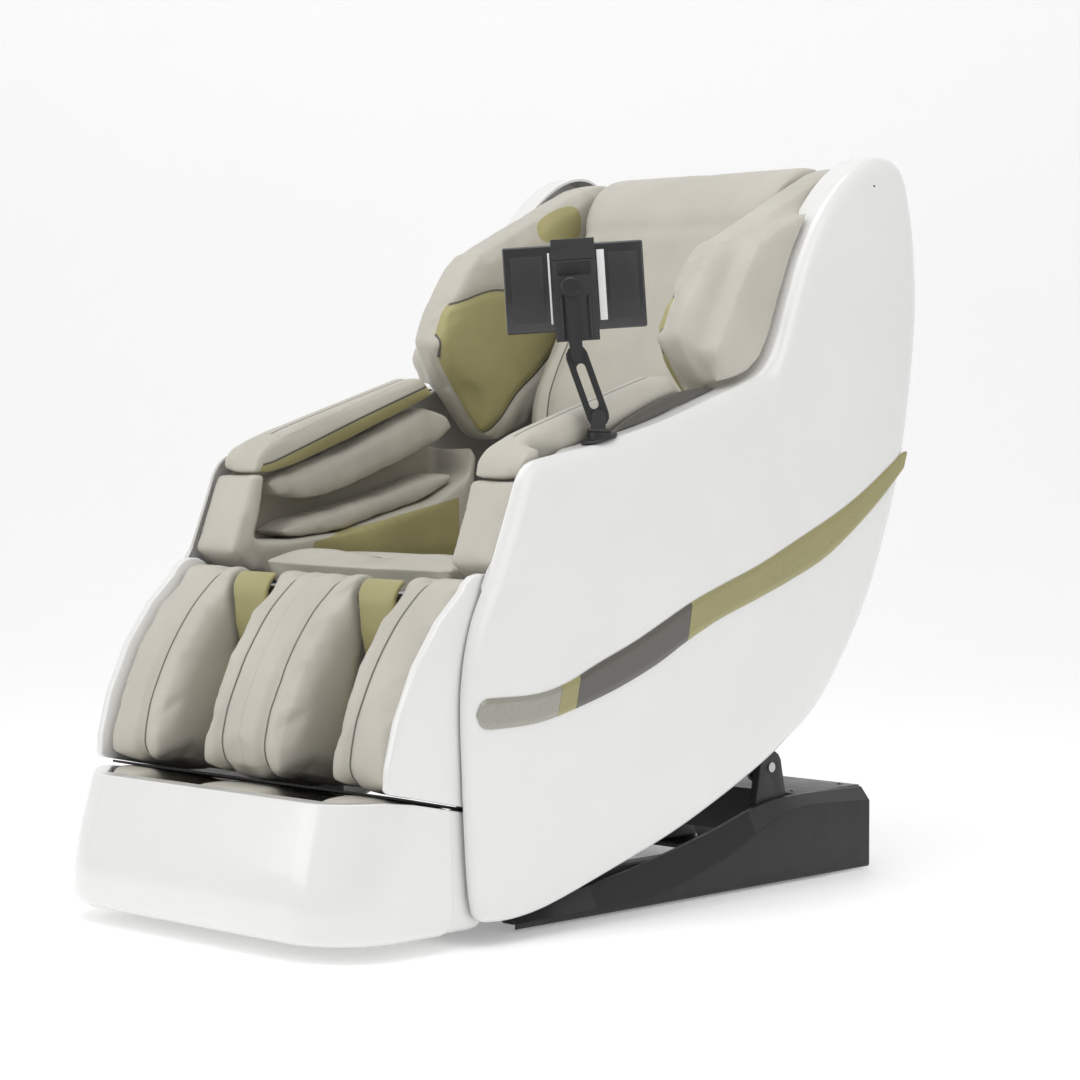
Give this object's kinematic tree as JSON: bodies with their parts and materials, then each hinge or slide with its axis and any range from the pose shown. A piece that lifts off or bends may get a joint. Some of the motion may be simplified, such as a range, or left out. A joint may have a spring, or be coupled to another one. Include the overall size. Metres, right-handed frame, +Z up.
{
  "type": "massage chair",
  "caption": "Reclining massage chair: cocoon side shells, padded arms with forearm channels, calf and foot rest, tablet on a jointed arm, low sled base.",
  "frame": {"origin": "on the floor, under the middle of the chair's bounding box", "axes": "+Z up, the chair faces -Y, the sitter's left hand is on +X, +Y is the chair's length towards its back"},
  "size_m": [0.7338, 1.2441, 1.1616],
  "materials": {
    "pearl_white": "glossy pearl white moulding",
    "warm_leather": "soft light grey synthetic leather over foam",
    "khaki_leather": "khaki-gold synthetic leather over foam",
    "band_silver": "satin silver-grey trim",
    "khaki_band": "satin khaki-gold trim",
    "black_plastic": "fine matt black plastic",
    "dark_plastic": "dark grey plastic",
    "frame_steel": "black painted steel",
    "bright_steel": "bare steel",
    "rubber": "matt black rubber",
    "grey_plastic": "mid grey plastic housing",
    "glass_black": "glossy black"
  },
  "bodies": {
    "base": {"base_rail_left": "frame_steel", "base_rail_right": "frame_steel", "base_crossbar": "frame_steel", "base_deck": "frame_steel", "base_cover_left": "black_plastic", "base_cover_right": "black_plastic", "floor_strip_left": "rubber", "floor_strip_right": "rubber", "rear_housing": "black_plastic", "power_supply": "grey_plastic", "air_pump": "grey_plastic", "power_inlet": "dark_plastic", "tilt_axle": "bright_steel"},
    "rocker": {"power_rocker": "rubber"},
    "cocoon": {"side_shell_left": "pearl_white", "side_shell_right": "pearl_white", "shell_band_left": "band_silver", "shell_band_right": "band_silver", "shell_accent_left": "khaki_band", "shell_accent_right": "khaki_band", "arm_body_left": "warm_leather", "arm_body_right": "warm_leather", "arm_top_pad_left": "warm_leather", "arm_top_pad_right": "warm_leather", "arm_airbag_upper_left": "warm_leather", "arm_airbag_upper_right": "warm_leather", "arm_airbag_lower_left": "warm_leather", "arm_airbag_lower_right": "warm_leather", "shoulder_pad_left": "khaki_leather", "shoulder_pad_right": "khaki_leather", "side_plate_left": "frame_steel", "side_plate_right": "frame_steel", "seat_pan": "frame_steel", "back_tie_bar": "frame_steel", "massage_rail_left": "bright_steel", "massage_rail_right": "bright_steel", "rear_cover": "pearl_white", "seat_cushion": "warm_leather", "back_cushion": "warm_leather", "holder_base": "black_plastic"},
    "carriage": {"massage_carriage": "frame_steel"},
    "head_left": {"roller_arm_left": "dark_plastic"},
    "head_right": {"roller_arm_right": "dark_plastic"},
    "kneader_left": {"kneading_roller_left": "rubber"},
    "kneader_right": {"kneading_roller_right": "rubber"},
    "leg_rest": {"leg_shell": "pearl_white", "leg_pivot_tube": "bright_steel", "calf_pad_left": "warm_leather", "calf_pad_centre": "warm_leather", "calf_pad_right": "warm_leather"},
    "foot_unit": {"foot_shell": "pearl_white", "foot_liner": "warm_leather"},
    "foot_roller_l": {"foot_roller_left": "dark_plastic"},
    "foot_roller_r": {"foot_roller_right": "dark_plastic"},
    "holder_turntable": {"holder_foot": "black_plastic"},
    "holder_lower": {"holder_lower_link": "black_plastic"},
    "holder_upper": {"holder_upper_link": "black_plastic"},
    "holder_head": {"clamp_back": "black_plastic", "control_tablet": "glass_black"},
    "holder_jaw": {"clamp_jaw": "dark_plastic"}
  },
  "joints": [
    {"name": "cocoon_tilt", "type": "hinge", "parent": "base", "child": "cocoon", "pos_m": [0, 0.375, 0.185], "axis": [-1, 0, 0], "range_deg": [0, 30]},
    {"name": "power_rocker_tilt", "type": "hinge", "parent": "base", "child": "rocker", "pos_m": [0.133, 0.6125, 0.097], "axis": [-1, 0, 0], "range_deg": [0, 14]},
    {"name": "carriage_travel", "type": "slide", "parent": "cocoon", "child": "carriage", "axis": [0, 0.3182, 0.948], "range_m": [-0.15, 0.17]},
    {"name": "roller_arm_swing_left", "type": "hinge", "parent": "carriage", "child": "head_left", "pos_m": [0.046, 0.42372, 0.74023], "axis": [1, 0, 0], "range_deg": [-6, 6]},
    {"name": "roller_arm_swing_right", "type": "hinge", "parent": "carriage", "child": "head_right", "pos_m": [-0.046, 0.42372, 0.74023], "axis": [1, 0, 0], "range_deg": [-6, 6]},
    {"name": "kneading_spin_left", "type": "hinge", "parent": "head_left", "child": "kneader_left", "pos_m": [0.0655, 0.41781, 0.79178], "axis": [1, 0, 0], "continuous": true},
    {"name": "kneading_spin_right", "type": "hinge", "parent": "head_right", "child": "kneader_right", "pos_m": [-0.0655, 0.41781, 0.79178], "axis": [1, 0, 0], "continuous": true},
    {"name": "leg_lift", "type": "hinge", "parent": "cocoon", "child": "leg_rest", "pos_m": [0, -0.345, 0.485], "axis": [-1, 0, 0], "range_deg": [0, 85]},
    {"name": "foot_extend", "type": "slide", "parent": "leg_rest", "child": "foot_unit", "axis": [0, -0.4149, -0.9099], "range_m": [0, 0.1]},
    {"name": "foot_roller_spin_left", "type": "hinge", "parent": "foot_unit", "child": "foot_roller_l", "pos_m": [0.1375, -0.47, 0.098], "axis": [1, 0, 0], "continuous": true},
    {"name": "foot_roller_spin_right", "type": "hinge", "parent": "foot_unit", "child": "foot_roller_r", "pos_m": [-0.1375, -0.47, 0.098], "axis": [1, 0, 0], "continuous": true},
    {"name": "holder_swivel", "type": "hinge", "parent": "cocoon", "child": "holder_turntable", "pos_m": [0.327, -0.105, 0.725], "axis": [0, 0, 1], "range_deg": [-60, 60]},
    {"name": "holder_lower_tilt", "type": "hinge", "parent": "holder_turntable", "child": "holder_lower", "pos_m": [0.32596, -0.10608, 0.748], "axis": [0.7193, -0.6947, 0], "range_deg": [-20, 20]},
    {"name": "holder_elbow_tilt", "type": "hinge", "parent": "holder_lower", "child": "holder_upper", "pos_m": [0.30408, -0.12874, 0.836], "axis": [0.7193, -0.6947, 0], "range_deg": [-20, 20]},
    {"name": "holder_head_turn", "type": "hinge", "parent": "holder_upper", "child": "holder_head", "pos_m": [0.29713, -0.13593, 0.936], "axis": [0.7193, -0.6947, 0], "range_deg": [-90, 90]},
    {"name": "clamp_jaw_slide", "type": "slide", "parent": "holder_head", "child": "holder_jaw", "axis": [-0.0454, -0.047, 0.9979], "range_m": [0, 0.03], "stiffness_N_per_m": 120}
  ],
  "couplings": [
    {"joint": "roller_arm_swing_right", "follows": "roller_arm_swing_left", "ratio": -1}
  ]
}
